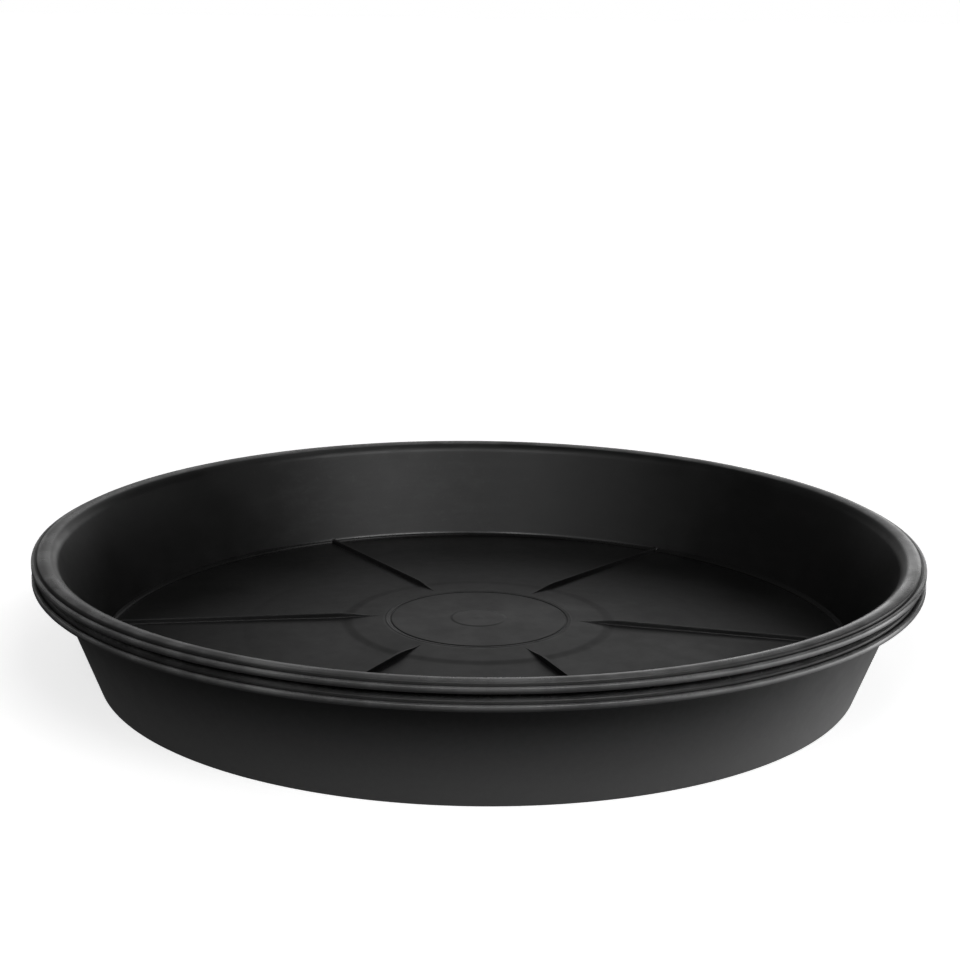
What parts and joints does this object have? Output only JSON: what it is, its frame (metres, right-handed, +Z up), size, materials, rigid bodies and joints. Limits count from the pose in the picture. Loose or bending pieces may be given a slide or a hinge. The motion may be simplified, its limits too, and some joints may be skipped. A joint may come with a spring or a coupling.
{
  "type": "plant saucer",
  "caption": "Round flared plant saucers with rolled rims and radial floor ribs, nested one inside the other.",
  "frame": {"origin": "centre of the lower saucer's foot ring, on the ground", "axes": "+Z up along the axis that both saucers share; one rib lies 3 degrees clockwise of +X, seen from above"},
  "size_m": [0.508, 0.508, 0.0753],
  "materials": {
    "lower_plastic": "satin black polypropylene, as moulded, with fine scuffs",
    "upper_plastic": "satin black polypropylene, as moulded, with fine scuffs"
  },
  "bodies": {
    "lower": {"lower_saucer": "lower_plastic"},
    "upper": {"upper_saucer": "upper_plastic"}
  },
  "joints": [
    {"name": "upper_saucer_lift", "type": "slide", "parent": "lower", "child": "upper", "axis": [0, 0, 1], "range_m": [0, 0.16]}
  ]
}
